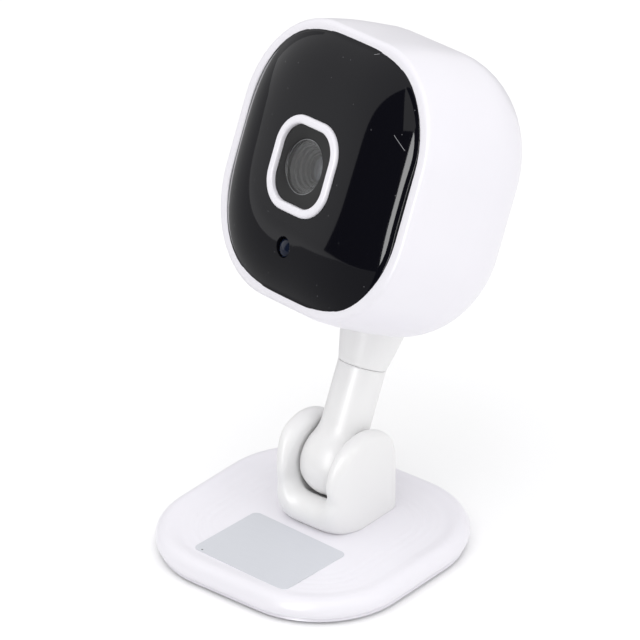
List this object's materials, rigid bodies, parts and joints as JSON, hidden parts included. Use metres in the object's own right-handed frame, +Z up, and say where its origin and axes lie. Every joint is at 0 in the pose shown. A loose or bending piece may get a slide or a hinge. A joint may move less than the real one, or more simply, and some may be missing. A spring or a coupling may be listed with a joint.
{
  "type": "security camera",
  "caption": "Small indoor security camera: square head with a domed black front and one lens, swivelling on an arm that leans in a forked yoke on a square weighted base.",
  "frame": {"origin": "middle of the underside of the rubber pad under the base, on the surface the camera stands on", "axes": "+Z up; the base's label and the lens side face -Y; +X to the side, along the hinge pin"},
  "size_m": [0.0663, 0.0816, 0.1109],
  "materials": {
    "shell_white": "smooth gloss white, faintly lavender",
    "stand_white": "smooth satin gloss, neutral white",
    "panel_black": "polished black acrylic, passes infrared",
    "black_plastic": "fine moulded black",
    "rubber": "soft anti-slip pad",
    "steel": "zinc plated",
    "brass": "turned brass",
    "label_silver": "blank silver-grey foil label",
    "washer_nylon": "natural nylon",
    "board_green": "solder-masked circuit board",
    "chip_black": "moulded chip package",
    "window_clear": "clear acrylic window",
    "lens_glass": "coated optical glass",
    "filter_glass": "infrared cut glass",
    "sensor_blue": "dark blue moulded dome",
    "tape_black": "foam tape",
    "cable_ivory": "flat ribbon cable"
  },
  "bodies": {
    "base": {"foot_pad": "rubber", "base_bottom": "shell_white", "ballast_plate": "steel", "base_cover": "shell_white", "base_screws": "steel", "label": "label_silver", "yoke": "stand_white", "yoke_screws": "steel", "hinge_screw": "steel", "hinge_spring_washer": "steel", "hinge_nut": "brass", "friction_washers": "washer_nylon"},
    "arm": {"arm": "stand_white", "swivel_washer": "steel", "swivel_spring_washer": "steel", "swivel_screw": "steel"},
    "head": {"neck": "stand_white", "neck_screws": "steel", "head_shell": "shell_white", "front_frame": "black_plastic", "frame_screws": "steel", "panel_tape": "tape_black", "front_panel": "panel_black", "lens_ring": "shell_white", "lens_bezel": "black_plastic", "lens_window": "window_clear", "lens_barrel": "black_plastic", "front_glass": "lens_glass", "rear_glass": "lens_glass", "lens_holder": "black_plastic", "infrared_filter": "filter_glass", "image_sensor": "chip_black", "sensor_board": "board_green", "standoffs": "brass", "board_screws": "steel", "infrared_board": "board_green", "infrared_lights": "sensor_blue", "infrared_screws": "steel", "infrared_cable": "cable_ivory", "light_sensor": "sensor_blue", "sensor_sleeve": "black_plastic", "main_board": "board_green", "main_board_screws": "steel", "processor": "chip_black", "wireless_shield": "steel", "card_socket": "steel", "usb_socket": "steel", "loudspeaker": "black_plastic", "microphone": "steel", "reset_switch": "chip_black"},
    "button": {"reset_button": "stand_white"}
  },
  "joints": [
    {"name": "arm_tilt", "type": "hinge", "parent": "base", "child": "arm", "pos_m": [0, 0.0076, 0.0172], "axis": [1, 0, 0], "range_deg": [-45, 70]},
    {"name": "head_swivel", "type": "hinge", "parent": "arm", "child": "head", "pos_m": [0, 0.01656, 0.03641], "axis": [0, 0.4226, 0.9063], "range_deg": [-144, 175]},
    {"name": "reset_press", "type": "slide", "parent": "head", "child": "button", "axis": [-0.2672, -0.8733, 0.4072], "range_m": [0, 0.0006], "stiffness_N_per_m": 900, "springref_m": -0.0004}
  ]
}
